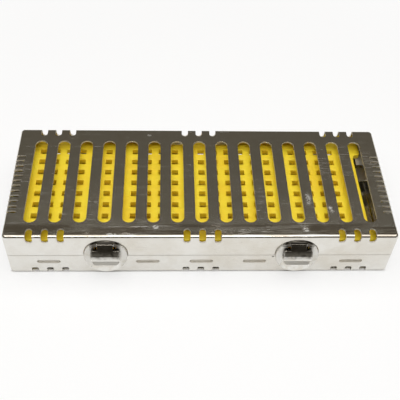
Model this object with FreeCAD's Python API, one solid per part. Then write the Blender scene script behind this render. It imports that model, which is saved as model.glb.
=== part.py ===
import FreeCAD, Part
import math
import os

# Instrument cassette: a low sheet steel case in two halves, a base and a lid, hinged along the
# back and held shut by two swinging latches at the front. Each half carries a perforated
# silicone mat, and the instruments lie between the two mats.
# Millimetres. X runs along the case, -Y is the latch side, +Y the hinge side, +Z is up.
# The origin is the centre of the underside of the base.

# The case
case_length = 186.0
case_depth = 71.6
case_height = 28.0
base_height = 13.6
seam_gap = 0.3
sheet = 0.8
corner_radius = 2.0
bend_radius = 1.5

# Long slots across the lid and the floor
slot_pitch = 11.58
slot_width = 6.3
slot_side_margin = 8.85
slot_end_margin = 9.0

# Short notches over the long edges, in groups of three
notch_pitch = 7.3
notch_width = 3.3
notch_reach_in = 5.1
notch_reach_in_floor = 1.4
notch_reach_lid_wall = 4.5
notch_reach_base_wall = 4.0
notch_corner_base_wall = 0.8
notch_group_inset = 19.7

# Narrow slits over the short edges of the lid
slit_pitch = 3.3
slit_width = 1.3
slit_row_length = 37.0
slit_row_centre = -2.4
slit_reach_in = 5.0
slit_reach_wall = 5.2

# Slots in the long walls of the base
wall_slot_length = 11.3
wall_slot_width = 2.7
wall_slot_height = 8.9
wall_slot_inner_place = 25.9

# Silicone mats
mat_thickness = 3.0
mat_depth_in_case = 6.2
mat_end_gap = 7.7
mat_side_gap = 2.2
mat_corner_radius = 2.0
mat_hole = 3.2
mat_hole_pitch_x = 6.82
mat_hole_pitch_y = 7.2
mat_hole_margin = 5.2
mat_hole_shift = 0.5
ear_reach = 4.0
ear_width = 9.0
ear_corner_radius = 1.0
ear_root_radius = 2.8
ear_end_gap = 0.2

# Small brackets that carry the mats
bracket_sheet = 0.6
bracket_play = 0.15
bracket_bend_per_sheet = 0.9
clip_reach = 4.2
clip_width = 8.0
clip_place = 13.0
rail_latch_gap = 1.6
rail_end_inset = 12.0
shelf_width = 9.5
shelf_reach = 7.8
shelf_outer_place = 29.0
shelf_web_height = 3.5

# Round latch boss, the lower part on the base and the upper part on the lid
boss_below_top = 2.5
boss_above_bottom = 5.0
boss_inset = 47.3
boss_sheet = 0.8
boss_reach_top = 0.5
boss_reach_bottom = 3.6
boss_rim_radius = 0.7
boss_split_above_pin = 0.3
boss_flange_width = 0.9
boss_flange_sheet = 0.6
weld_gap = 0.1
moving_gap = 0.3

# Latch flap and its pin
flap_sheet = 0.7
flap_width = 13.8
flap_neck_width = 7.4
flap_reach = 4.8
flap_bottom_below_pin = 9.4
flap_bend_below_pin = 4.2
flap_shoulder_below_pin = 1.4
flap_corner_radius = 2.2
flap_bend_radius = 2.2
flap_lip_reach = 0.5
flap_lip_height = 1.3
flap_dip_height = 1.2
flap_nose_gap = 0.35
flap_nose_radius = 0.3
pin_below_boss_top = 3.9
pin_depth_in_wall = 0.2
pin_radius = 0.8
running_clearance = 0.05
window_above_pin = 2.6
pin_ear_sheet = 0.8
pin_ear_edge = 0.7
pin_end_proud = 0.1

# Butt hinges at the back
hinge_inset = 47.3
open_lid_height = 0.6
hinge_width = 18.0
hinge_centre_knuckle = 7.0
hinge_pin_radius = 1.2
hinge_knuckle_wall = 0.95
hinge_leaf_sheet = 0.9
hinge_leaf_height = 9.4
hinge_leaf_corner = 2.0
hinge_pin_head_radius = 1.7
hinge_pin_head = 0.6
hinge_pin_head_edge = 0.36
rivet_spacing = 10.0
rivet_radius = 0.9
rivet_head_radius = 1.7
rivet_head_height = 0.6
rivet_head_edge = 0.48
rivet_tail_radius = 1.45
rivet_tail_height = 0.42
rivet_inset_from_end = 3.2

# Values worked out from the ones above
lid_low = base_height + seam_gap
half_length = case_length / 2
half_depth = case_depth / 2
inner_half_length = half_length - sheet
inner_half_depth = half_depth - sheet
slot_length = case_depth - 2 * slot_side_margin
boss_place = half_length - boss_inset
boss_top_height = case_height - boss_below_top
boss_radius = (boss_top_height - boss_above_bottom) / 2
boss_centre_height = boss_top_height - boss_radius
pin_height = boss_top_height - pin_below_boss_top
boss_split_height = pin_height + boss_split_above_pin
flap_bottom_height = pin_height - flap_bottom_below_pin
flap_bend_height = pin_height - flap_bend_below_pin
flap_shoulder_height = pin_height - flap_shoulder_below_pin
# Turned half round, the lid lies upside down with its face at the open height
hinge_axis_height = (case_height + open_lid_height) / 2
hinge_place = half_length - hinge_inset
hinge_knuckle_radius = hinge_pin_radius + running_clearance + hinge_knuckle_wall
hinge_axis_y = half_depth + flap_reach - hinge_knuckle_radius
flap_knuckle_radius = pin_radius + running_clearance + flap_sheet
window_half = flap_neck_width / 2 + moving_gap
pin_ear_outer = window_half + running_clearance + pin_ear_sheet
pin_ear_half_height = pin_radius + pin_ear_edge
mat_length = 2 * (inner_half_length - mat_end_gap)
mat_depth = 2 * (inner_half_depth - mat_side_gap)
mat_shift = -(mat_end_gap - ear_reach - bracket_sheet - ear_end_gap)
overshoot = 5.0
tolerance = 1e-6
fillet_share = 0.95
sides = (("left", -1), ("right", 1))

X = FreeCAD.Vector(1, 0, 0)
Y = FreeCAD.Vector(0, 1, 0)
Z = FreeCAD.Vector(0, 0, 1)


def vec(x, y, z):
    return FreeCAD.Vector(x, y, z)


def block(x0, x1, y0, y1, z0, z1):
    """Box between two opposite corners."""
    return Part.makeBox(x1 - x0, y1 - y0, z1 - z0, vec(x0, y0, z0))


def rod(radius, length, start, direction):
    return Part.makeCylinder(radius, length, start, direction)


def edges_along(shape, axis):
    """Straight edges that run along one axis."""
    found = []
    for edge in shape.Edges:
        if isinstance(edge.Curve, Part.Line):
            run = edge.Vertexes[-1].Point.sub(edge.Vertexes[0].Point)
            if abs(abs(run.dot(axis)) - run.Length) < tolerance:
                found.append(edge)
    return found


def edges_at_height(shape, height):
    return [edge for edge in shape.Edges
            if abs(edge.BoundBox.ZMin - height) < tolerance
            and abs(edge.BoundBox.ZMax - height) < tolerance]


def rounded_prism(length, depth, low, high, radius):
    """Upright prism with rounded vertical edges, centred on the origin."""
    prism = block(-length / 2, length / 2, -depth / 2, depth / 2, low, high)
    return prism.makeFillet(radius, edges_along(prism, Z))


def obround(length, width, thickness, centre, long_axis, through_axis):
    """Slot-shaped prism with two round ends."""
    half = (length - width) / 2
    radius = width / 2
    top = Part.LineSegment(vec(-half, radius, 0), vec(half, radius, 0))
    right = Part.Arc(vec(half, radius, 0), vec(half + radius, 0, 0), vec(half, -radius, 0))
    bottom = Part.LineSegment(vec(half, -radius, 0), vec(-half, -radius, 0))
    left = Part.Arc(vec(-half, -radius, 0), vec(-half - radius, 0, 0), vec(-half, radius, 0))
    outline = Part.Wire([piece.toShape() for piece in (top, right, bottom, left)])
    prism = Part.Face(outline).extrude(vec(0, 0, thickness))
    prism.translate(vec(0, 0, -thickness / 2))
    across = through_axis.cross(long_axis)
    turn = FreeCAD.Rotation(long_axis, across, through_axis, "ZXY")
    prism.Placement = FreeCAD.Placement(centre, turn).multiply(prism.Placement)
    return prism


def evenly(count, pitch):
    """Places of a row that is centred on zero."""
    return [(index - (count - 1) / 2) * pitch for index in range(count)]


def pan(low, high, closed_height):
    """Half of the case: four walls and one closed face, bent from one sheet."""
    outer = rounded_prism(case_length, case_depth, low, high, corner_radius)
    outer = outer.makeFillet(bend_radius, edges_at_height(outer, closed_height))
    if closed_height == high:
        inner_low, inner_high, inner_closed = low - overshoot, high - sheet, high - sheet
    else:
        inner_low, inner_high, inner_closed = low + sheet, high + overshoot, low + sheet
    inner = rounded_prism(2 * inner_half_length, 2 * inner_half_depth, inner_low, inner_high,
                          corner_radius - sheet)
    inner = inner.makeFillet(bend_radius - sheet, edges_at_height(inner, inner_closed))
    return outer.cut(inner)


def slot_places():
    count = 2 * int((half_length - slot_end_margin) / slot_pitch) + 1
    return evenly(count, slot_pitch)


def long_slots(height):
    """Cutters of the slots across a closed face."""
    return [obround(slot_length, slot_width, 4 * sheet, vec(x, 0, height), Y, Z)
            for x in slot_places()]


def notch_places():
    group = half_length - notch_group_inset
    return [centre + step for centre in (-group, 0, group) for step in evenly(3, notch_pitch)]


def face_notches(closed_height, reach):
    """Cutters of the notches in a closed face that run out over its long edges."""
    length = reach + overshoot
    places = [vec(x, side * (half_depth - reach + length / 2), closed_height)
              for x in notch_places() for side in (-1, 1)]
    return [obround(length, notch_width, 2 * bend_radius, place, Y, Z) for place in places]


def lid_wall_notches():
    """Cutters of the round-ended notches that run down from the lid's face into its long walls."""
    length = notch_reach_lid_wall + overshoot
    places = [vec(x, side * half_depth, case_height - notch_reach_lid_wall + length / 2)
              for x in notch_places() for side in (-1, 1)]
    return [obround(length, notch_width, 2 * bend_radius, place, Z, Y) for place in places]


def base_wall_notches():
    """Cutters of the squarer notches that run up from the floor into the long walls of the base."""
    cutters = []
    top = notch_reach_base_wall
    for x in notch_places():
        for side in (-1, 1):
            y0, y1 = sorted((side * (half_depth - bend_radius), side * (half_depth + bend_radius)))
            cutter = block(x - notch_width / 2, x + notch_width / 2, y0, y1, -overshoot, top)
            corners = [edge for edge in edges_along(cutter, Y) if abs(edge.Vertexes[0].Z - top) < tolerance]
            cutters.append(cutter.makeFillet(notch_corner_base_wall, corners))
    return cutters


def edge_slits():
    """Cutters of the slits that wrap the short edges of the lid."""
    cutters = []
    deep = 2 * bend_radius
    count = int(slit_row_length / slit_pitch) + 1
    for step in evenly(count, slit_pitch):
        y = slit_row_centre + step
        for side in (-1, 1):
            length = slit_reach_in + overshoot
            centre = vec(side * (half_length - slit_reach_in + length / 2), y, case_height)
            cutters.append(obround(length, slit_width, deep, centre, X, Z))
            length = slit_reach_wall + overshoot
            centre = vec(side * half_length, y, case_height - slit_reach_wall + length / 2)
            cutters.append(obround(length, slit_width, deep, centre, Z, X))
    return cutters


def wall_slots():
    """Cutters of the slots along the front and back walls of the base."""
    outer = half_length - notch_group_inset
    centres = [vec(x, side * half_depth, wall_slot_height) for side in (-1, 1)
               for x in (-outer, -wall_slot_inner_place, 0, wall_slot_inner_place, outer)]
    return [obround(wall_slot_length, wall_slot_width, 4 * sheet, centre, X, Y) for centre in centres]


def boss_hole(radius, straight_to):
    """Cutters of the round hole for a boss, with straight sides down to a height."""
    cutters = []
    front, back = -half_depth - 2 * sheet, -half_depth + 2 * sheet
    for _, side in sides:
        x = side * boss_place
        cutters.append(rod(radius, back - front, vec(x, front, boss_centre_height), Y))
        if straight_to < boss_centre_height:
            cutters.append(block(x - radius, x + radius, front, back, straight_to, boss_centre_height))
    return cutters


def rivet_places(wall_end, into_leaf):
    """Centres of the rivets of both hinges on the outer face of the back wall."""
    height = wall_end + into_leaf * (hinge_leaf_height - rivet_inset_from_end)
    return [vec(side * hinge_place + step, half_depth, height)
            for _, side in sides for step in evenly(2, rivet_spacing)]


base_rivet_places = rivet_places(hinge_axis_height, -1)
lid_rivet_places = rivet_places(hinge_axis_height, 1)


def rivet_holes(places):
    radius = rivet_radius + running_clearance
    return [rod(radius, 4 * sheet, place.sub(Y * (2 * sheet)), Y) for place in places]


def base_tray():
    cutters = long_slots(0) + face_notches(0, notch_reach_in_floor) + base_wall_notches() + wall_slots()
    cutters += boss_hole(boss_radius + weld_gap, boss_centre_height) + rivet_holes(base_rivet_places)
    return pan(0, base_height, 0).cut(cutters)


def lid_shell():
    cutters = long_slots(case_height) + edge_slits() + rivet_holes(lid_rivet_places)
    cutters += face_notches(case_height, notch_reach_in) + lid_wall_notches()
    cutters += boss_hole(boss_radius + moving_gap, lid_low - overshoot)
    return pan(lid_low, case_height, case_height).cut(cutters)


def square_hole(x, y):
    half = mat_hole / 2
    signs = ((-1, -1), (1, -1), (1, 1), (-1, 1), (-1, -1))
    return Part.Face(Part.makePolygon([vec(x + sx * half, y + sy * half, 0) for sx, sy in signs]))


def mat(low):
    """Perforated silicone mat with an ear at each end of its short sides."""
    body = rounded_prism(mat_length, mat_depth, 0, mat_thickness, mat_corner_radius)
    ears = []
    for side in (-1, 1):
        y = side * (mat_depth / 2 - ear_width / 2)
        ears.append(block(-mat_length / 2 - ear_reach, mat_length / 2 + ear_reach,
                          y - ear_width / 2, y + ear_width / 2, 0, mat_thickness))
    outline = body.fuse(ears).removeSplitter()
    outline = outline.makeFillet(ear_corner_radius, ear_corner_edges(outline))
    # The corner leaves a part of the ear's side, and the root's radius fits in that
    root_radius = min(ear_root_radius, fillet_share * (ear_reach - ear_corner_radius))
    outline = outline.makeFillet(root_radius, ear_root_edges(outline))
    columns = int((mat_length - 2 * mat_hole_margin) / mat_hole_pitch_x) + 1
    rows = int((mat_depth - 2 * mat_hole_margin) / mat_hole_pitch_y) + 1
    holes = [square_hole(x + mat_hole_shift, y) for x in evenly(columns, mat_hole_pitch_x)
             for y in evenly(rows, mat_hole_pitch_y)]
    cutters = [hole.extrude(vec(0, 0, mat_thickness)) for hole in holes]
    plate = outline.cut(Part.makeCompound(cutters))
    plate.translate(vec(mat_shift, 0, low))
    return plate


def ear_corner_edges(outline):
    """Upright edges at the four far corners of the ears."""
    reach = mat_length / 2 + ear_reach
    return [edge for edge in edges_along(outline, Z)
            if abs(abs(edge.Vertexes[0].X) - reach) < tolerance]


def ear_root_edges(outline):
    """Upright edges where the inner sides of the ears meet the mat."""
    return [edge for edge in edges_along(outline, Z)
            if abs(abs(edge.Vertexes[0].X) - mat_length / 2) < tolerance
            and abs(abs(edge.Vertexes[0].Y) - mat_depth / 2 + ear_width) < tolerance]


lid_mat_low = case_height - mat_depth_in_case - mat_thickness
base_mat_low = mat_depth_in_case


def clip_spans():
    """Short clips of the lid's mat, as (start, end) along the long walls."""
    return [(place - clip_width / 2, place + clip_width / 2) for place in (-clip_place, clip_place)]


def rail_spans():
    """Rails of the base's mat, which reach from latch to latch and on towards the ends."""
    latch_half = boss_radius + boss_flange_width + rail_latch_gap
    inner, outer, end = boss_place - latch_half, boss_place + latch_half, half_length - rail_end_inset
    return [(-end, -outer), (-inner, inner), (outer, end)]


def mat_clips(mat_low, spans):
    """Channels on the long walls: a web against the wall and a flange above and below the mat."""
    low = mat_low - bracket_play - bracket_sheet
    high = mat_low + mat_thickness + bracket_play + bracket_sheet
    clips = []
    for x0, x1 in spans:
        for side in (-1, 1):
            wall = side * inner_half_depth
            tip = side * (inner_half_depth - bracket_sheet - clip_reach)
            inside = side * (inner_half_depth - bracket_sheet)
            y0, y1 = sorted((wall, tip))
            clip = block(x0, x1, y0, y1, low, high)
            y0, y1 = sorted((inside, tip - side * overshoot))
            clip = clip.cut(block(x0 - overshoot, x1 + overshoot, y0, y1,
                                  low + bracket_sheet, high - bracket_sheet))
            outer_bends = [edge for edge in edges_along(clip, X)
                           if abs(edge.Vertexes[0].Y - wall) < tolerance]
            clips.append(clip.makeFillet(bracket_sheet * bracket_bend_per_sheet, outer_bends))
    return Part.makeCompound(clips)


def mat_shelves(mat_low):
    """Angle brackets on the short walls, with a shelf under each ear of the mat."""
    top = mat_low - bracket_play
    low = top - bracket_sheet
    shelves = []
    for end in (-1, 1):
        for side in (-1, 1):
            wall = end * inner_half_length
            inside = end * (inner_half_length - bracket_sheet)
            tip = end * (inner_half_length - bracket_sheet - shelf_reach)
            y0, y1 = sorted((side * shelf_outer_place, side * (shelf_outer_place - shelf_width)))
            shelf = block(min(wall, tip), max(wall, tip), y0, y1, low, top)
            web = block(min(wall, inside), max(wall, inside), y0, y1, low, top + shelf_web_height)
            angle = shelf.fuse(web).removeSplitter()
            outer_bend = [edge for edge in edges_along(angle, Y)
                          if abs(edge.Vertexes[0].X - wall) < tolerance
                          and abs(edge.Vertexes[0].Z - low) < tolerance]
            shelves.append(angle.makeFillet(bracket_sheet * bracket_bend_per_sheet, outer_bend))
    return Part.makeCompound(shelves)


def ramp_reach(height):
    """How far the face of the boss stands out of the front wall at a height."""
    low = boss_centre_height - boss_radius
    slope = (boss_reach_top - boss_reach_bottom) / (2 * boss_radius)
    return boss_reach_bottom + (height - low) * slope


def wall_point(x, reach, height):
    """Point in front of the front wall by a reach, or behind it by a negative one."""
    return vec(x, -half_depth - reach, height)


def side_profile(points, width, x):
    """Prism along X, centred on x, of an outline given as (reach, height) pairs."""
    corners = [wall_point(x - width / 2, reach, height) for reach, height in points]
    return Part.Face(Part.makePolygon(corners + corners[:1])).extrude(vec(width, 0, 0))


def boss_body(x, radius, skin, depth_in_wall):
    """Solid boss whose face leans out towards the bottom, smaller by a skin than the outside."""
    low = boss_centre_height - 2 * boss_radius
    high = boss_centre_height + 2 * boss_radius
    back = wall_point(x, -depth_in_wall, boss_centre_height)
    drum = rod(radius, depth_in_wall + 2 * boss_reach_bottom, back, -Y)
    behind = -depth_in_wall - overshoot
    front = [(ramp_reach(low) - skin, low), (ramp_reach(high) - skin, high), (behind, high), (behind, low)]
    return drum.common(side_profile(front, 4 * boss_radius, x))


def boss_shell(x):
    """Hollow boss with a weld flange behind the wall, before it is split."""
    flange_depth = sheet + boss_flange_sheet
    outside = boss_body(x, boss_radius, 0, flange_depth)
    rim = [edge for edge in outside.Edges
           if edge.BoundBox.YMax < -half_depth and edge.BoundBox.XLength > boss_radius]
    outside = outside.makeFillet(boss_rim_radius, rim)
    inside = boss_body(x, boss_radius - boss_sheet, boss_sheet, 2 * flange_depth)
    flange = rod(boss_radius + boss_flange_width, boss_flange_sheet,
                 wall_point(x, -sheet, boss_centre_height), Y)
    return outside, outside.fuse(flange).cut(inside)


def slab(x, low, high):
    """Wide block between two heights, to cut a boss into its parts."""
    wide = 3 * boss_radius
    return block(x - wide, x + wide, -half_depth - wide, -half_depth + wide, low, high)


def latch_cup(x):
    """Lower part of the boss, welded into the base, with a notch for the pin's ears."""
    shell = boss_shell(x)[1].common(slab(x, 0, boss_split_height - moving_gap / 2))
    behind_lid_wall = block(x - case_length, x + case_length, -inner_half_depth, half_depth,
                            base_height - moving_gap, case_height)
    half = pin_ear_outer + moving_gap
    floor = pin_height - max(pin_ear_half_height, flap_knuckle_radius) - moving_gap
    notch = block(x - half, x + half, -half_depth - overshoot, half_depth, floor, case_height)
    return shell.cut([behind_lid_wall, notch])


def latch_hood(x):
    """Upper part of the boss, welded into the lid, with a window and two ears for the pin."""
    outside, shell = boss_shell(x)
    low = boss_split_height + moving_gap / 2
    front = -half_depth - overshoot
    window = block(x - window_half, x + window_half, front, -inner_half_depth + overshoot,
                   low - overshoot, pin_height + window_above_pin)
    hood = shell.common(slab(x, low, case_height)).cut(window)
    ear_low = pin_height - pin_ear_half_height
    ear_top = pin_height + pin_ear_half_height
    ear_back = pin_depth_in_wall + pin_ear_half_height
    envelope = boss_body(x, boss_radius - boss_sheet / 2, boss_sheet / 2, ear_back)
    for _, side in sides:
        far = x + side * pin_ear_outer
        x0, x1 = sorted((far - side * pin_ear_sheet, far))
        web = block(x0, x1, front, -half_depth + ear_back, ear_low, ear_top)
        hood = hood.fuse(web.common(envelope))
    pin_start = wall_point(x - boss_radius, -pin_depth_in_wall, pin_height)
    return hood.cut(rod(pin_radius, 2 * boss_radius, pin_start, X))


def latch_pin(x):
    reach = pin_ear_outer + pin_end_proud
    return rod(pin_radius, 2 * reach, wall_point(x - reach, -pin_depth_in_wall, pin_height), X)


def flap_outline(x):
    """Front view of the flap: a narrow neck above a wide plate with round lower corners."""
    front, back = -half_depth - 2 * flap_reach, -half_depth + 2 * flap_reach
    neck = block(x - flap_neck_width / 2, x + flap_neck_width / 2, front, back,
                 flap_bend_height, case_height)
    plate = block(x - flap_width / 2, x + flap_width / 2, front, back,
                  flap_bottom_height, flap_shoulder_height)
    for height, radius in ((flap_bottom_height, flap_corner_radius),
                           (flap_shoulder_height, flap_corner_radius / 2)):
        corners = [edge for edge in edges_along(plate, Y)
                   if abs(edge.Vertexes[0].Z - height) < tolerance]
        plate = plate.makeFillet(radius, corners)
    return plate.fuse(neck)


def shifted_line(points, distance):
    """Line of (reach, height) points moved sideways, towards the case, by a distance."""
    legs = []
    for (reach0, height0), (reach1, height1) in zip(points, points[1:]):
        length = math.hypot(reach1 - reach0, height1 - height0)
        across = ((height1 - height0) / length, (reach0 - reach1) / length)
        legs.append((across, reach0 * across[0] + height0 * across[1] + distance))
    moved = [(points[0][0] + distance * legs[0][0][0], points[0][1] + distance * legs[0][0][1])]
    for (a, reach_a), (b, reach_b) in zip(legs, legs[1:]):
        area = a[0] * b[1] - a[1] * b[0]
        moved.append(((reach_a * b[1] - reach_b * a[1]) / area, (reach_b * a[0] - reach_a * b[0]) / area))
    across = legs[-1][0]
    moved.append((points[-1][0] + distance * across[0], points[-1][1] + distance * across[1]))
    return moved


def latch_flap(x):
    """Bent strip: a knuckle round the pin, a neck leaning out, an upright plate, a nose and a lip."""
    plate_reach = flap_reach - flap_lip_reach
    nose_height = flap_bottom_height + flap_lip_height
    nose_reach = ramp_reach(nose_height) + flap_nose_gap + flap_sheet
    outer = [knuckle_place(flap_knuckle_radius), (plate_reach, flap_bend_height),
             (plate_reach, nose_height + flap_dip_height), (nose_reach, nose_height),
             (flap_reach, flap_bottom_height)]
    inner = shifted_line(outer, flap_sheet)
    strip = side_profile(outer + inner[::-1], flap_width, x)
    strip = strip.makeFillet(flap_bend_radius, edges_through(strip, outer[1]))
    strip = strip.makeFillet(flap_bend_radius - flap_sheet, edges_through(strip, inner[1]))
    strip = strip.makeFillet(flap_nose_radius, edges_through(strip, outer[3]))
    strip = strip.makeFillet(flap_nose_radius + flap_sheet, edges_through(strip, inner[3]))
    strip = strip.makeFillet(flap_nose_radius + flap_sheet, edges_through(strip, outer[2]))
    strip = strip.makeFillet(flap_nose_radius, edges_through(strip, inner[2]))
    knuckle_reach = -pin_depth_in_wall
    centre = wall_point(x - flap_neck_width / 2, knuckle_reach, pin_height)
    barrel = rod(flap_knuckle_radius, flap_neck_width, centre, X)
    bore_start = wall_point(x - flap_width, knuckle_reach, pin_height)
    bore = rod(pin_radius + running_clearance, 2 * flap_width, bore_start, X)
    return strip.common(flap_outline(x)).fuse(barrel).cut(bore).removeSplitter()


def knuckle_place(radius):
    """Place (reach, height) on a circle about the pin, halfway between front and top."""
    step = radius * math.sqrt(0.5)
    return step - pin_depth_in_wall, pin_height + step


def edges_through(shape, place):
    """Edges along X that pass through a (reach, height) place."""
    y, z = -half_depth - place[0], place[1]
    return [edge for edge in edges_along(shape, X)
            if abs(edge.Vertexes[0].Y - y) < tolerance and abs(edge.Vertexes[0].Z - z) < tolerance]


def hinge_leaf(x, into_leaf, knuckle_spans, other_spans, places):
    """Leaf against the back wall, with its knuckles. Spans are (low, high) along the hinge."""
    inner, outer = half_depth, half_depth + hinge_leaf_sheet
    end = hinge_axis_height + into_leaf * hinge_leaf_height
    low, high = sorted((hinge_axis_height, end))
    leaf = block(x - hinge_width / 2, x + hinge_width / 2, inner, outer, low, high)
    corners = [edge for edge in edges_along(leaf, Y) if abs(edge.Vertexes[0].Z - end) < tolerance]
    leaf = leaf.makeFillet(hinge_leaf_corner, corners)
    clear = hinge_knuckle_radius + moving_gap
    for start, stop in other_spans:
        leaf = leaf.cut(block(x + start - moving_gap, x + stop + moving_gap,
                              inner - overshoot, outer + overshoot,
                              hinge_axis_height - clear, hinge_axis_height + clear))
    for start, stop in knuckle_spans:
        centre = vec(x + start, hinge_axis_y, hinge_axis_height)
        barrel = rod(hinge_knuckle_radius, stop - start, centre, X)
        web_end = hinge_axis_height + into_leaf * hinge_knuckle_radius
        web_low, web_high = sorted((hinge_axis_height, web_end))
        web = block(x + start, x + stop, inner, outer, web_low, web_high)
        leaf = leaf.fuse([web, barrel])
    if into_leaf < 0:
        leaf = leaf.cut(block(x - hinge_width, x + hinge_width, inner - overshoot, inner + moving_gap,
                              base_height - moving_gap, hinge_axis_height + overshoot))
    bore = rod(hinge_pin_radius + running_clearance, 2 * hinge_width,
               vec(x - hinge_width, hinge_axis_y, hinge_axis_height), X)
    return leaf.cut([bore] + rivet_holes_in_leaf(places)).removeSplitter()


def rivet_holes_in_leaf(places):
    radius = rivet_radius + running_clearance
    return [rod(radius, 2 * hinge_leaf_sheet, place, Y) for place in places]


def knuckle_spans():
    """Outer knuckles of the base leaf and centre knuckle of the lid leaf, along the hinge."""
    half = hinge_centre_knuckle / 2
    outer = [(-hinge_width / 2, -half - moving_gap / 2), (half + moving_gap / 2, hinge_width / 2)]
    centre = [(-half + moving_gap / 2, half - moving_gap / 2)]
    return outer, centre


def hinge_pin(x):
    """Pin through one hinge with a low rounded head at each end."""
    half = hinge_width / 2
    pin = rod(hinge_pin_radius, hinge_width, vec(x - half, hinge_axis_y, hinge_axis_height), X)
    heads = []
    for _, side in sides:
        start = vec(x + side * half, hinge_axis_y, hinge_axis_height)
        head = rod(hinge_pin_head_radius, hinge_pin_head, start, X * side)
        end = x + side * (half + hinge_pin_head)
        rim = [edge for edge in head.Edges if abs(edge.BoundBox.Center.x - end) < tolerance]
        heads.append(head.makeFillet(hinge_pin_head_edge, rim))
    return pin.fuse(heads).removeSplitter()


def rivets(places):
    """Rivets through leaf and wall, domed outside and flat inside."""
    solids = []
    for place in places:
        outer = place.add(Y * hinge_leaf_sheet)
        inner = place.sub(Y * sheet)
        head = rod(rivet_head_radius, rivet_head_height, outer, Y)
        end = outer.y + rivet_head_height
        rim = [edge for edge in head.Edges if abs(edge.BoundBox.Center.y - end) < tolerance]
        head = head.makeFillet(rivet_head_edge, rim)
        shank = rod(rivet_radius, hinge_leaf_sheet + sheet, inner, Y)
        tail = rod(rivet_tail_radius, rivet_tail_height, inner, -Y)
        solids.append(head.fuse([shank, tail]).removeSplitter())
    return Part.makeCompound(solids)


def build():
    nodes = {
        "base_tray": base_tray(),
        "lid_shell": lid_shell(),
        "base_mat": mat(base_mat_low),
        "lid_mat": mat(lid_mat_low),
        "base_mat_clips": mat_clips(base_mat_low, rail_spans()),
        "lid_mat_clips": mat_clips(lid_mat_low, clip_spans()),
        "base_mat_shelves": mat_shelves(base_mat_low),
        "lid_mat_shelves": mat_shelves(lid_mat_low),
        "hinge_rivets_base": rivets(base_rivet_places),
        "hinge_rivets_lid": rivets(lid_rivet_places),
    }
    outer_spans, centre_spans = knuckle_spans()
    for name, side in sides:
        latch_x = side * boss_place
        hinge_x = side * hinge_place
        nodes["latch_cup_" + name] = latch_cup(latch_x)
        nodes["latch_hood_" + name] = latch_hood(latch_x)
        nodes["latch_flap_" + name] = latch_flap(latch_x)
        nodes["latch_pin_" + name] = latch_pin(latch_x)
        nodes["hinge_leaf_base_" + name] = hinge_leaf(hinge_x, -1, outer_spans, centre_spans,
                                                      base_rivet_places)
        nodes["hinge_leaf_lid_" + name] = hinge_leaf(hinge_x, 1, centre_spans, outer_spans,
                                                     lid_rivet_places)
        nodes["hinge_pin_" + name] = hinge_pin(hinge_x)
    return nodes


os.makedirs("parts", exist_ok=True)
for node, shape in build().items():
    shape.exportStep(os.path.join("parts", node + ".step"))
    print(node, "solids", len(shape.Solids), "valid", shape.isValid(), "volume", round(shape.Volume, 1))
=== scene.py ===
import math

import bmesh
import bpy
from mathutils import Matrix, Vector


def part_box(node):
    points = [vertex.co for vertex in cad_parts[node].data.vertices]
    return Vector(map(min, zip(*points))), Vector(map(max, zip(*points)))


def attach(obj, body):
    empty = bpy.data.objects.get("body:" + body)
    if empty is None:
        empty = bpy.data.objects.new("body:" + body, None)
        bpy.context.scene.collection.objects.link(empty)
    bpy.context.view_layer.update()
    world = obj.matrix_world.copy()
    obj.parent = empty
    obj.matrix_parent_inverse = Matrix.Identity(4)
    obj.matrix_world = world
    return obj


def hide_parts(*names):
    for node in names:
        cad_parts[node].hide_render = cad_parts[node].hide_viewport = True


# Instrument cassette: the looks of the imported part. Metres, in the part's own frame.
# X runs along the case, -Y is the latch side, +Z is up, and the case stands on z = 0.
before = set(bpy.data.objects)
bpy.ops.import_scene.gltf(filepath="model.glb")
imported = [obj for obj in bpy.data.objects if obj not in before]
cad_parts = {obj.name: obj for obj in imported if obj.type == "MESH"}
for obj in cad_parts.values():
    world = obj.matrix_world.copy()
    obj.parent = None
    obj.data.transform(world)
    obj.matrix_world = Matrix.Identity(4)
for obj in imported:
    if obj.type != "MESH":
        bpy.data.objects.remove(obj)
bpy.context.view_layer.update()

mm = 0.001
sides = ("left", "right")


def middle(node):
    """Middle of a CAD node's box."""
    low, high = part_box(node)
    return (Vector(low) + Vector(high)) / 2


# Sizes read from the frame
case_half_length, case_half_depth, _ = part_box("base_tray")[1]
case_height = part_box("lid_shell")[1][2]
latch_x = middle("latch_cup_right").x

# Sizes that the frame can't give, the same as in the part's source
sheet = 0.8 * mm
mat_hole = 3.2 * mm
mat_hole_pitch_x = 6.82 * mm
mat_hole_pitch_y = 7.2 * mm
mat_hole_shift = 0.5 * mm
mat_columns = 24
mat_rows = 8
ear_reach = 4.0 * mm
ear_width = 9.0 * mm
ear_corner_radius = 1.0 * mm
ear_root_radius = 2.8 * mm
rivet_spacing = 10.0 * mm
rivet_head_radius = 1.7 * mm
rivet_head_height = 0.6 * mm
rivet_shank_radius = 0.9 * mm
rivet_tail_radius = 1.45 * mm
rivet_tail_height = 0.42 * mm
hinge_leaf_sheet = 0.9 * mm
# The lip of each flap ends under this height
flap_lip_top = 13.6 * mm

# How far each kind of edge is worn round
sheet_edge = 0.13 * mm
latch_edge = 0.16 * mm
bracket_edge = 0.08 * mm
rubber_edge = 0.22 * mm

# Edges that turn more than this are rounded and stay sharp in shading
sharp_angle = math.radians(38)
# Facets that turn less than this lie in one plane, and points closer than this are one point
plane_angle = math.radians(0.6)
same_point = 0.0005 * mm


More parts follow.
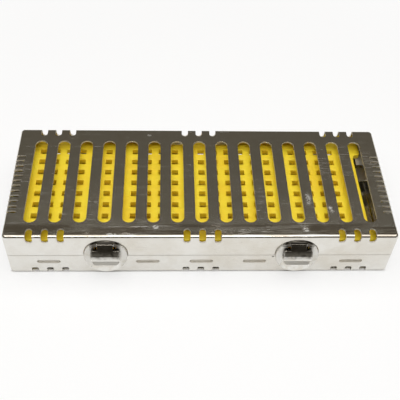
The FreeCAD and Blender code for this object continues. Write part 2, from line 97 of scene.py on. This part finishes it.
class Value:
    """A socket that turns Python arithmetic into Math nodes."""

    def __init__(self, graph, socket):
        self.graph = graph
        self.socket = socket

    def math(self, operation, *others):
        return self.graph.node("ShaderNodeMath", {"operation": operation}, [self, *others])

    def flipped(self, operation, other):
        return self.graph.node("ShaderNodeMath", {"operation": operation}, [other, self])

    def __add__(self, other):
        return self.math("ADD", other)

    def __radd__(self, other):
        return self.math("ADD", other)

    def __sub__(self, other):
        return self.math("SUBTRACT", other)

    def __rsub__(self, other):
        return self.flipped("SUBTRACT", other)

    def __mul__(self, other):
        return self.math("MULTIPLY", other)

    def __rmul__(self, other):
        return self.math("MULTIPLY", other)

    def __truediv__(self, other):
        return self.math("DIVIDE", other)

    def __rtruediv__(self, other):
        return self.flipped("DIVIDE", other)

    def __pow__(self, other):
        return self.math("POWER", other)

    def __neg__(self):
        return self.math("MULTIPLY", -1.0)

    def __lt__(self, other):
        return self.math("LESS_THAN", other)

    def __gt__(self, other):
        return self.math("GREATER_THAN", other)


class Graph:
    """A node tree that is being written, for a material, the world or a mesh."""

    def __init__(self, tree):
        self.tree = tree

    def feed(self, socket, value):
        """Sets a socket to a constant, or links one value or a list of them to it."""
        if isinstance(value, Value):
            self.tree.links.new(value.socket, socket)
        elif isinstance(value, list):
            for part in value:
                self.feed(socket, part)
        else:
            socket.default_value = value

    def node(self, kind, settings=None, inputs=(), output=0):
        """Adds a node. Settings come first, then inputs, by name or in order. Gives one output, if any."""
        made = self.tree.nodes.new(kind)
        for name, value in (settings or {}).items():
            if name == "stops":
                self.set_stops(made.color_ramp, value)
            else:
                setattr(made, name, value)
        pairs = inputs.items() if isinstance(inputs, dict) else enumerate(inputs)
        for key, value in pairs:
            self.feed(made.inputs[key], value)
        return Value(self, made.outputs[output]) if made.outputs else None

    def axes(self, place):
        """The x, y and z of a place."""
        parts = self.node("ShaderNodeSeparateXYZ", {}, [place]).socket.node.outputs
        return [Value(self, part) for part in parts]

    def between(self, value, low, high):
        """0 below low, 1 above high and smooth between."""
        return self.node("ShaderNodeMapRange", {"interpolation_type": "SMOOTHSTEP"},
                         {"Value": value, "From Min": low, "From Max": high})

    def set_stops(self, ramp, stops):
        while len(ramp.elements) < len(stops):
            ramp.elements.new(1.0)
        for element, (place, colour) in zip(ramp.elements, stops):
            element.position = place
            element.color = colour


class Surface(Graph):
    """The nodes of one finish."""

    def __init__(self, name):
        self.material = bpy.data.materials.new(name)
        self.material.use_nodes = True
        super().__init__(self.material.node_tree)
        self.tree.nodes.clear()

    def place(self):
        return self.node("ShaderNodeTexCoord", output="Object")

    def marked(self, name):
        """Value of a face attribute of the piece."""
        return self.node("ShaderNodeAttribute", {"attribute_name": name}, output="Fac")

    def noise(self, place, scale, detail):
        """Cloudy noise. The scale is the number of its cells in a metre."""
        return self.node("ShaderNodeTexNoise", {}, {"Vector": place, "Scale": scale, "Detail": detail})

    def marks(self, place, along, across, detail):
        """Noise that is drawn out: its cells in a metre along the case, and in a metre across it."""
        drawn_out = self.node("ShaderNodeVectorMath", {"operation": "MULTIPLY"},
                              [place, (along, across, across)])
        return self.noise(drawn_out, 1.0, detail)

    def mix(self, share, first, second):
        """Mix of two colours. The node's colour sockets are 6 and 7, and 2 for the result."""
        return self.node("ShaderNodeMix", {"data_type": "RGBA"}, {0: share, 6: first, 7: second}, 2)

    def bump(self, height, distance, strength):
        return self.node("ShaderNodeBump", {},
                         {"Height": height, "Distance": distance, "Strength": strength})

    def close(self, shader):
        """Ends the material in this shader."""
        self.node("ShaderNodeOutputMaterial", {}, {"Surface": shader})
        return self.material

    def finish(self, **inputs):
        """Ends the material in one Principled shader."""
        sockets = {name.replace("_", " ").title(): value for name, value in inputs.items()}
        return self.close(self.node("ShaderNodeBsdfPrincipled", {}, sockets))


# Finishes

steel_colour = (0.76, 0.745, 0.70, 1.0)
stain_colour = (0.62, 0.575, 0.49, 1.0)
smudge_colour = (0.80, 0.79, 0.75, 1.0)
# Dark colour of the speck on the front wall, and of the painted shade on the latches
speck_and_painted_shade_colour = (0.10, 0.09, 0.075, 1.0)
streak_colour = (0.40, 0.345, 0.27, 1.0)
pin_colour = (0.58, 0.57, 0.55, 1.0)
silicone_colour = (1.0, 0.78, 0.035, 1.0)
silicone_deep_colour = (0.96, 0.69, 0.025, 1.0)

# Roughness of the clean surfaces
sheet_roughness = 0.11
latch_roughness = 0.13
pin_roughness = 0.20
silicone_roughness = 0.42

# Depth of the fine scratches in steel and of the skin of the silicone
scratch_depth = 0.003 * mm
skin_depth = 0.01 * mm

# A dark speck on the front wall, beside the right latch and just under the seam
speck_x = 34.6 * mm
speck_z = 12.6 * mm
speck_radius = 0.8 * mm

# The brown streaks lie on the lid, in front of its slots, and fade out over a short way
streaks_end = -26.5 * mm
streaks_fade = 3.0 * mm
streaks_low = 27.5 * mm

# Heights at which the painted shade on the latches starts, is patchy and is full, and its half width
painted_shade_low = 14.5 * mm
painted_shade_high = 18.5 * mm
painted_shade_full = 20.5 * mm
painted_shade_half_width = 5.5 * mm

# Rubbed, paler spots on the lid: x, y, half width and half depth
rubbed_spots = (
    (-42.5 * mm, -34.0 * mm, 3.4 * mm, 0.9 * mm),
    (-22.0 * mm, -30.0 * mm, 2.4 * mm, 2.4 * mm),
    (49.0 * mm, -31.0 * mm, 2.8 * mm, 2.4 * mm),
    (52.3 * mm, -12.5 * mm, 2.3 * mm, 6.2 * mm),
    (62.6 * mm, -19.0 * mm, 1.9 * mm, 3.8 * mm),
    (-26.0 * mm, 31.5 * mm, 1.6 * mm, 1.6 * mm),
)


def smudges(surface, place):
    """Mask of the rubbed spots on the lid, ragged and broken up by a fine noise."""
    x, y, _ = surface.axes(place)
    ragged = surface.noise(place, 420.0, 3.0)
    mask = 0.0
    for spot_x, spot_y, half_width, half_depth in rubbed_spots:
        away = (((x - spot_x) / half_width) ** 2.0 + ((y - spot_y) / half_depth) ** 2.0) ** 0.5
        mask = (1.0 - surface.between(away + ragged, 0.7, 1.4)) + mask
    speckle = surface.marks(place, 900.0, 2200.0, 2.0)
    return mask * surface.between(speckle, 0.38, 0.60)


def sheet_colour(surface, place, cloud, spots, dull):
    """Bright steel with stains, brown streaks in front of the slots, a speck and the rubbed spots."""
    x, y, z = surface.axes(place)
    freckles = surface.between(surface.noise(place, 210.0, 3.0), 0.42, 0.62)
    streaks = surface.between(surface.marks(place, 55.0, 520.0, 3.0), 0.42, 0.58)
    in_front = 1.0 - surface.between(y, streaks_end - streaks_fade, streaks_end)
    streaks = streaks * in_front * (z > streaks_low)
    from_speck = ((x - speck_x) ** 2.0 + (z - speck_z) ** 2.0) ** 0.5
    speck = (1.0 - surface.between(from_speck, 0.5 * speck_radius, speck_radius)) * (y < 0.0)
    colour = surface.mix(cloud * 0.45 + freckles * 0.15, steel_colour, stain_colour)
    colour = surface.mix(streaks * 0.75, colour, streak_colour)
    colour = surface.mix(dull * 0.4, colour, stain_colour)
    colour = surface.mix(speck * 0.75, colour, speck_and_painted_shade_colour)
    return surface.mix(spots, colour, smudge_colour)


def sheet_steel():
    """Thin bright sheet that is brushed along the case, stained a little and scratched."""
    surface = Surface("sheet steel")
    place = surface.place()
    grain = surface.marks(place, 30.0, 1600.0, 3.0)
    long_lines = surface.marks(place, 16.0, 900.0, 2.0)
    short_lines = surface.marks(place, 130.0, 1400.0, 1.0)
    scratches = surface.between(long_lines, 0.62, 0.74) + surface.between(short_lines, 0.70, 0.78)
    cloud = surface.between(surface.noise(place, 38.0, 4.0), 0.38, 0.66)
    worn = surface.between(surface.noise(place, 30.0, 2.0), 0.50, 0.60)
    scuffs = surface.between(surface.marks(place, 150.0, 2300.0, 1.0), 0.60, 0.68) * worn
    spots = smudges(surface, place)
    dull = surface.marked("dull")
    colour = sheet_colour(surface, place, cloud, spots, dull)
    roughness = sheet_roughness + cloud * 0.04 + grain * 0.04 + scratches * 0.10
    roughness = roughness + scuffs * 0.12 + spots * 0.22 + dull * 0.66
    height = grain * 0.35 + scratches * 0.65
    return surface.finish(base_color=colour, metallic=1.0 - dull * 0.6, roughness=roughness,
                          normal=surface.bump(height, scratch_depth, 0.5))


def latch_steel():
    """Polished pressed steel with light wear, with painted shade round the latch pins and duller beside
    them.
    """
    surface = Surface("latch steel")
    place = surface.place()
    x, _, z = surface.axes(place)
    wear = surface.between(surface.noise(place, 260.0, 3.0), 0.45, 0.62)
    fine = surface.marks(place, 500.0, 900.0, 2.0)
    from_middle = (x.math("ABSOLUTE") - latch_x).math("ABSOLUTE")
    patches = surface.between(surface.noise(place, 420.0, 3.0), 0.30, 0.60)
    # Painted shade on the hoods and flaps round the pins: full high up, patchy lower down, fading out to
    # the sides
    upper = surface.between(z, painted_shade_high, painted_shade_full)
    painted_shade = surface.between(z, painted_shade_low, painted_shade_high) * (1.0 - patches * 0.55 * (1.0 - upper))
    rim = surface.between(from_middle, painted_shade_half_width, 1.5 * painted_shade_half_width)
    painted_shade = painted_shade * (1.0 - rim)
    colour = surface.mix(wear * 0.5, steel_colour, stain_colour)
    colour = surface.mix(painted_shade, colour, speck_and_painted_shade_colour)
    roughness = latch_roughness + wear * 0.07 + rim * 0.20 + surface.marked("dull") * 0.20
    return surface.finish(base_color=colour, metallic=1.0 - rim * 0.6, roughness=roughness,
                          normal=surface.bump(fine, scratch_depth, 0.5))


def pin_steel():
    """Turned steel of pins and rivets."""
    surface = Surface("pin steel")
    rings = surface.marks(surface.place(), 3000.0, 400.0, 2.0)
    return surface.finish(base_color=pin_colour, metallic=1.0, roughness=pin_roughness + rings * 0.08)


def silicone():
    """Yellow moulded silicone, matt, with faint cloudiness."""
    surface = Surface("silicone")
    place = surface.place()
    cloud = surface.noise(place, 60.0, 3.0)
    colour = surface.mix(surface.between(cloud, 0.35, 0.65), silicone_colour, silicone_deep_colour)
    skin = surface.noise(place, 2600.0, 2.0)
    return surface.finish(base_color=colour, roughness=silicone_roughness + cloud * 0.16,
                          normal=surface.bump(skin, skin_depth, 0.4))


finishes = {
    "sheet_steel": sheet_steel(),
    "latch_steel": latch_steel(),
    "pin_steel": pin_steel(),
    "silicone": silicone(),
}


# Making pieces


def settle(piece):
    """Turns a piece and its modifiers into one plain mesh."""
    shape = piece.evaluated_get(bpy.context.evaluated_depsgraph_get())
    mesh = bpy.data.meshes.new_from_object(shape)
    piece.modifiers.clear()
    piece.data = mesh


def shade(mesh):
    mesh.shade_smooth()
    mesh.set_sharp_from_angle(angle=sharp_angle)


def round_edges(piece, width):
    """Rounds the edges a little and keeps the wide flat faces flat in shading."""
    bevel = piece.modifiers.new("worn edges", "BEVEL")
    bevel.width = width
    bevel.segments = 2
    bevel.limit_method = "ANGLE"
    bevel.angle_limit = sharp_angle
    flat = piece.modifiers.new("flat faces", "WEIGHTED_NORMAL")
    flat.mode = "FACE_AREA"
    flat.weight = 100
    flat.keep_sharp = True


def hand_over(piece, body, slot, *nodes):
    """Puts a finished piece under its body and hides the CAD nodes that it stands for; its material slot is
    not used.
    """
    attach(piece, body)
    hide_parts(*nodes)


def cut_through(centre, normal):
    """True for a face that runs through the sheet of a shell: it lies within it or off its own wall."""
    depths = (case_half_length - abs(centre.x), case_half_depth - abs(centre.y),
              min(centre.z, case_height - centre.z))
    for depth, part in zip(depths, normal):
        within = 0.1 * sheet < depth < 0.9 * sheet and abs(part) < 0.3
        off_wall = depth > 1.5 * sheet and abs(part) > 0.9
        if within or off_wall:
            return True
    return False


def dullness(node, centre, normal):
    """How dull a face is: cut edges of the shells and lips of the flaps, and half of it the brackets."""
    if node in ("base_tray", "lid_shell"):
        return float(cut_through(centre, normal))
    if node.startswith("latch_flap"):
        return float(centre.z < flap_lip_top and normal.y < 0.0 < normal.z)
    return 0.5 if "_mat_" in node else 0.0


def mark_dull(mesh, node):
    marks = mesh.attributes.new("dull", "FLOAT", "FACE")
    for face in mesh.polygons:
        marks.data[face.index].value = dullness(node, face.center, face.normal)


def dress(node, body, slot, edge):
    """Hands over a copy of a CAD node with its facets joined, its edges rounded and its finish on."""
    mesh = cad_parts[node].data.copy()
    work = bmesh.new()
    work.from_mesh(mesh)
    bmesh.ops.remove_doubles(work, verts=work.verts, dist=same_point)
    bmesh.ops.dissolve_limit(work, angle_limit=plane_angle, verts=work.verts, edges=work.edges)
    work.to_mesh(mesh)
    work.free()
    mark_dull(mesh, node)
    mesh.materials.clear()
    mesh.materials.append(finishes[slot])
    shade(mesh)
    piece = bpy.data.objects.new(node + ".worn", mesh)
    bpy.context.scene.collection.objects.link(piece)
    round_edges(piece, edge)
    settle(piece)
    hand_over(piece, body, slot, node)


class MeshTree(Graph):
    """A Geometry Nodes tree with named inputs that ends in one realized mesh."""

    def __init__(self, name, inputs):
        super().__init__(bpy.data.node_groups.new(name, "GeometryNodeTree"))
        self.tree.interface.new_socket("Geometry", in_out="OUTPUT", socket_type="NodeSocketGeometry")
        for label, kind in inputs.items():
            self.tree.interface.new_socket(label, in_out="INPUT", socket_type="NodeSocket" + kind)

    def given(self, label):
        return self.node("NodeGroupInput", output=label)

    def vector(self, x=0.0, y=0.0, z=0.0):
        return self.node("ShaderNodeCombineXYZ", {}, [x, y, z])

    def moved(self, geometry, offset):
        return self.node("GeometryNodeTransform", {}, {"Geometry": geometry, "Translation": offset})

    def joined(self, *parts):
        return self.node("GeometryNodeJoinGeometry", {}, [list(parts)])

    def realized(self, geometry):
        return self.node("GeometryNodeRealizeInstances", {}, [geometry])

    def close(self, geometry):
        """Ends the tree in its own Place and Material."""
        moved = self.moved(geometry, self.given("Place"))
        painted = self.node("GeometryNodeSetMaterial", {}, {
            "Geometry": self.realized(moved), "Material": self.given("Material")})
        self.node("NodeGroupOutput", {}, [painted])
        return self.tree


def grown(name, tree, values, edge=None):
    """Plain mesh piece made by a tree with these input values."""
    piece = bpy.data.objects.new(name, bpy.data.meshes.new(name))
    bpy.context.scene.collection.objects.link(piece)
    modifier = piece.modifiers.new(name, "NODES")
    modifier.node_group = tree
    keys = {item.name: item.identifier for item in tree.interface.items_tree if item.in_out == "INPUT"}
    for label, value in values.items():
        modifier[keys[label]] = value
    if edge:
        round_edges(piece, edge)
    settle(piece)
    shade(piece.data)
    return piece


def mat_tree():
    """Flat plate with an ear at each end of its short sides and square holes in rows."""
    g = MeshTree("perforated mat", {
        "Length": "Float", "Depth": "Float", "Thickness": "Float", "Ear Reach": "Float",
        "Ear Width": "Float", "Ear Corner": "Float", "Ear Root": "Float", "Hole": "Float",
        "Hole Shift": "Float", "Pitch X": "Float", "Pitch Y": "Float", "Columns": "Int", "Rows": "Int",
        "Place": "Vector", "Material": "Material"})
    # The outline has three points in each quarter: the ear's root, its near corner and its far corner.
    # Quarters run anticlockwise, so that every other one takes them in reverse.
    ring = g.node("GeometryNodeCurvePrimitiveCircle", {}, {"Resolution": 12, "Radius": 1.0})
    index = g.node("GeometryNodeInputIndex")
    quarter = (index / 3.0).math("FLOOR")
    step = index - quarter * 3.0
    odd = quarter.math("MODULO", 2.0)
    point = step + odd * (2.0 - 2.0 * step)
    side_x = 1.0 - 2.0 * ((quarter - 1.5).math("ABSOLUTE") < 1.0)
    side_y = 1.0 - 2.0 * (quarter > 1.5)
    out = point > 0.5
    inner = point < 1.5
    x = side_x * (g.given("Length") / 2.0 + g.given("Ear Reach") * out)
    y = side_y * (g.given("Depth") / 2.0 - g.given("Ear Width") * inner)
    outline = g.node("GeometryNodeSetPosition", {}, {"Geometry": ring, "Position": g.vector(x, y)})
    radius = g.given("Ear Corner") * out + g.given("Ear Root") * (1.0 - out)
    outline = g.node("GeometryNodeFilletCurve", {"mode": "POLY"},
                     {"Curve": outline, "Count": 6, "Radius": radius, "Limit Radius": True})
    hole = g.node("GeometryNodeCurvePrimitiveQuadrilateral", {"mode": "RECTANGLE"},
                  {"Width": g.given("Hole"), "Height": g.given("Hole")})
    grid = g.node("GeometryNodeMeshGrid", {}, {
        "Size X": (g.given("Columns") - 1.0) * g.given("Pitch X"),
        "Size Y": (g.given("Rows") - 1.0) * g.given("Pitch Y"),
        "Vertices X": g.given("Columns"), "Vertices Y": g.given("Rows")})
    holes = g.node("GeometryNodeInstanceOnPoints", {}, {"Points": grid, "Instance": hole})
    holes = g.moved(g.realized(holes), g.vector(g.given("Hole Shift")))
    face = g.node("GeometryNodeFillCurve", {"mode": "NGONS"}, {"Curve": g.joined(outline, holes)})
    raised = g.node("GeometryNodeExtrudeMesh", {"mode": "FACES"}, {
        "Mesh": face, "Offset": g.vector(z=1.0), "Offset Scale": g.given("Thickness"), "Individual": False})
    under = g.node("GeometryNodeFlipFaces", {}, [face])
    plate = g.node("GeometryNodeMergeByDistance", {}, {
        "Geometry": g.joined(raised, under), "Distance": same_point})
    return g.close(plate)


def rivet_tree():
    """Row of rivets along X on the outside of the back wall, each a dome, a shank and a flat tail."""
    g = MeshTree("rivet row", {
        "Spacing": "Float", "Head Radius": "Float", "Head Height": "Float", "Shank Radius": "Float",
        "Grip": "Float", "Tail Radius": "Float", "Tail Height": "Float", "Place": "Vector",
        "Material": "Material"})

    def disc(radius, height):
        return g.node("GeometryNodeMeshCylinder", {"fill_type": "TRIANGLE_FAN"}, {
            "Vertices": 28, "Side Segments": 1, "Fill Segments": 4, "Radius": radius, "Depth": height})

    head = disc(g.given("Head Radius"), g.given("Head Height"))
    x, y, z = g.axes(g.node("GeometryNodeInputPosition"))
    away = ((x * x + y * y) ** 0.5) / g.given("Head Radius")
    drop = (away ** 4.0) * g.given("Head Height") * 0.75 * (z > 0.0)
    head = g.node("GeometryNodeSetPosition", {}, {"Geometry": head, "Offset": g.vector(z=-drop)})
    head = g.moved(head, g.vector(z=g.given("Head Height") / 2.0))
    shank = g.moved(disc(g.given("Shank Radius"), g.given("Grip")), g.vector(z=-g.given("Grip") / 2.0))
    tail_place = g.vector(z=-g.given("Grip") - g.given("Tail Height") / 2.0)
    tail = g.moved(disc(g.given("Tail Radius"), g.given("Tail Height")), tail_place)
    rivet = g.node("GeometryNodeTransform", {}, {
        "Geometry": g.joined(head, shank, tail), "Rotation": (-math.pi / 2, 0.0, 0.0)})
    row = g.node("GeometryNodeMeshLine", {"mode": "OFFSET"}, {
        "Count": 2, "Offset": g.vector(g.given("Spacing"))})
    return g.close(g.node("GeometryNodeInstanceOnPoints", {}, {"Points": row, "Instance": rivet}))


# The pieces

mats = mat_tree()
for node, body in (("base_mat", "base"), ("lid_mat", "lid")):
    low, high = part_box(node)
    mat = grown(node + ".moulded", mats, {
        "Length": high[0] - low[0] - 2 * ear_reach, "Depth": high[1] - low[1],
        "Thickness": high[2] - low[2], "Ear Reach": ear_reach, "Ear Width": ear_width,
        "Ear Corner": ear_corner_radius, "Ear Root": ear_root_radius, "Hole": mat_hole,
        "Hole Shift": mat_hole_shift, "Pitch X": mat_hole_pitch_x, "Pitch Y": mat_hole_pitch_y,
        "Columns": mat_columns, "Rows": mat_rows,
        "Place": (middle(node).x, middle(node).y, low[2]), "Material": finishes["silicone"]}, rubber_edge)
    hand_over(mat, body, "silicone", node)

dress("base_tray", "base", "sheet_steel", sheet_edge)
dress("lid_shell", "lid", "sheet_steel", sheet_edge)
for body in ("base", "lid"):
    dress(body + "_mat_clips", body, "sheet_steel", bracket_edge)
    dress(body + "_mat_shelves", body, "sheet_steel", bracket_edge)

for name in sides:
    dress("latch_cup_" + name, "base", "latch_steel", latch_edge)
    dress("latch_hood_" + name, "lid", "latch_steel", latch_edge)
    dress("latch_flap_" + name, "latch_" + name, "latch_steel", latch_edge)
    dress("latch_pin_" + name, "lid", "pin_steel", bracket_edge)
    dress("hinge_leaf_base_" + name, "base", "latch_steel", latch_edge)
    dress("hinge_leaf_lid_" + name, "lid", "latch_steel", latch_edge)
    dress("hinge_pin_" + name, "base", "pin_steel", bracket_edge)

rivet_rows = rivet_tree()
for body in ("base", "lid"):
    node = "hinge_rivets_" + body
    rows = []
    for name in sides:
        start = middle("hinge_leaf_base_" + name).x - rivet_spacing / 2
        rows.append(grown(node + "." + name, rivet_rows, {
            "Spacing": rivet_spacing, "Head Radius": rivet_head_radius, "Head Height": rivet_head_height,
            "Shank Radius": rivet_shank_radius, "Grip": sheet + hinge_leaf_sheet,
            "Tail Radius": rivet_tail_radius, "Tail Height": rivet_tail_height,
            "Place": (start, case_half_depth + hinge_leaf_sheet, middle(node).z),
            "Material": finishes["pin_steel"]}))
    for row in rows:
        hand_over(row, body, "pin_steel", node)


# Floor, light and camera

white = (1.0, 1.0, 1.0, 1.0)
floor_half = 4.0
floor_colour = (0.95, 0.95, 0.95, 1.0)
# Share of plain white in what the camera and the metal see of the floor near the case
floor_glow = 0.6
# Distances from the middle of the case between which the floor turns plain white
glow_low = 0.16
glow_full = 0.40
room_colour = (0.108, 0.096, 0.074, 1.0)
room_height = 0.45
horizon_colour = (0.20, 0.19, 0.17, 1.0)
# Heights of view, as sines, between which the white that metal sees fades into the room
white_full = 0.0
white_end = 0.10

softbox = {
    "place": (0.0, 0.0, 1.0), "aim": (0.0, 0.0, 0.0), "width": 1.7, "depth": 1.09, "power": 11.5}
camera_light = {
    "place": (-0.05, -0.52, 0.90), "aim": (0.0, 0.0, 0.02), "width": 0.5, "depth": 0.12, "power": 2.4}


def seeing_rays(graph):
    """Two values: 1 for the camera's own rays, and 1 for those from gloss or through clear material."""
    camera, gloss, clear = (graph.node("ShaderNodeLightPath", output="Is %s Ray" % kind)
                            for kind in ("Camera", "Glossy", "Transmission"))
    return camera, gloss.math("MAXIMUM", clear)


def floor_surface():
    """White floor that is dark under the case, keeps the shadow near it and is plain white further out."""
    surface = Surface("floor")
    place = surface.place()
    away = surface.node("ShaderNodeVectorMath", {"operation": "LENGTH"}, [place], "Value")
    diffuse = surface.node("ShaderNodeBsdfDiffuse", {}, {"Color": floor_colour})
    glow = surface.node("ShaderNodeEmission", {}, {"Color": white, "Strength": 1.0})
    far = surface.between(away, glow_low, glow_full)
    x, y = (axis.math("ABSOLUTE") for axis in surface.axes(place)[:2])
    beside = (x > case_half_length).math("MAXIMUM", y > case_half_depth)
    camera, mirrored = seeing_rays(surface)
    share = (floor_glow + (1.0 - floor_glow) * far) * camera.math("MAXIMUM", mirrored) * beside
    return surface.close(surface.node("ShaderNodeMixShader", {}, [share, diffuse, glow]))


def make_floor():
    corners = [(x * floor_half, y * floor_half, 0.0) for x, y in ((-1, -1), (1, -1), (1, 1), (-1, 1))]
    mesh = bpy.data.meshes.new("floor")
    mesh.from_pydata(corners, [], [(0, 1, 2, 3)])
    mesh.materials.append(floor_surface())
    floor = bpy.data.objects.new("floor", mesh)
    bpy.context.scene.collection.objects.link(floor)


def make_world():
    """Dim room, for lighting. The camera sees plain white, and metal sees it low down, behind the case."""
    world = bpy.data.worlds.new("studio")
    world.use_nodes = True
    g = Graph(world.node_tree)
    g.tree.nodes.clear()
    height = g.axes(g.node("ShaderNodeTexCoord", output="Generated"))[2]
    stops = ((0.0, horizon_colour), (room_height, room_colour))
    room = g.node("ShaderNodeValToRGB", {"stops": stops}, [height])
    camera, mirrored = seeing_rays(g)
    share = camera.math("MAXIMUM", mirrored * (1.0 - g.between(height, white_full, white_end)))
    dim = g.node("ShaderNodeBackground", {}, {"Color": room, "Strength": 1.0})
    plain = g.node("ShaderNodeBackground", {}, {"Color": white, "Strength": 1.0})
    mixed = g.node("ShaderNodeMixShader", {}, [share, dim, plain])
    g.node("ShaderNodeOutputWorld", {}, {"Surface": mixed})
    bpy.context.scene.world = world


def make_lamp(name, place, aim, width, depth, power):
    light = bpy.data.lights.new(name, "AREA")
    light.shape = "RECTANGLE"
    light.size = width
    light.size_y = depth
    light.energy = power
    lamp = bpy.data.objects.new(name, light)
    lamp.visible_camera = False
    lamp.location = place
    lamp.rotation_euler = (Vector(aim) - Vector(place)).to_track_quat("-Z", "Y").to_euler()
    bpy.context.scene.collection.objects.link(lamp)


# The photograph's camera, found from the case's corners and slots. Its lens and sensor are in millimetres.
camera_azimuth = math.radians(-4.166)
camera_elevation = math.radians(49.727)
camera_roll = math.radians(3.255)
camera_distance = 356.67 * mm
camera_target = Vector((0.18, -1.335, 14.05)) * mm
camera_lens = 62.73
camera_sensor = 36.0


def make_camera():
    back = Vector((math.sin(camera_azimuth) * math.cos(camera_elevation),
                   -math.cos(camera_azimuth) * math.cos(camera_elevation),
                   math.sin(camera_elevation)))
    right = (-back).cross(Vector((0.0, 0.0, 1.0))).normalized()
    up = back.cross(right)
    turned_right = right * math.cos(camera_roll) + up * math.sin(camera_roll)
    turned_up = up * math.cos(camera_roll) - right * math.sin(camera_roll)
    lens = bpy.data.cameras.new("camera")
    lens.lens = camera_lens
    lens.sensor_width = camera_sensor
    lens.clip_start = 0.01
    camera = bpy.data.objects.new("camera", lens)
    turn = Matrix((turned_right, turned_up, back)).transposed()
    camera.matrix_world = Matrix.Translation(camera_target + back * camera_distance) @ turn.to_4x4()
    bpy.context.scene.collection.objects.link(camera)
    bpy.context.scene.camera = camera


make_floor()
make_world()
make_lamp("overhead softbox", **softbox)
make_lamp("light above the camera", **camera_light)
make_camera()
bpy.context.scene.view_settings.view_transform = "Standard"
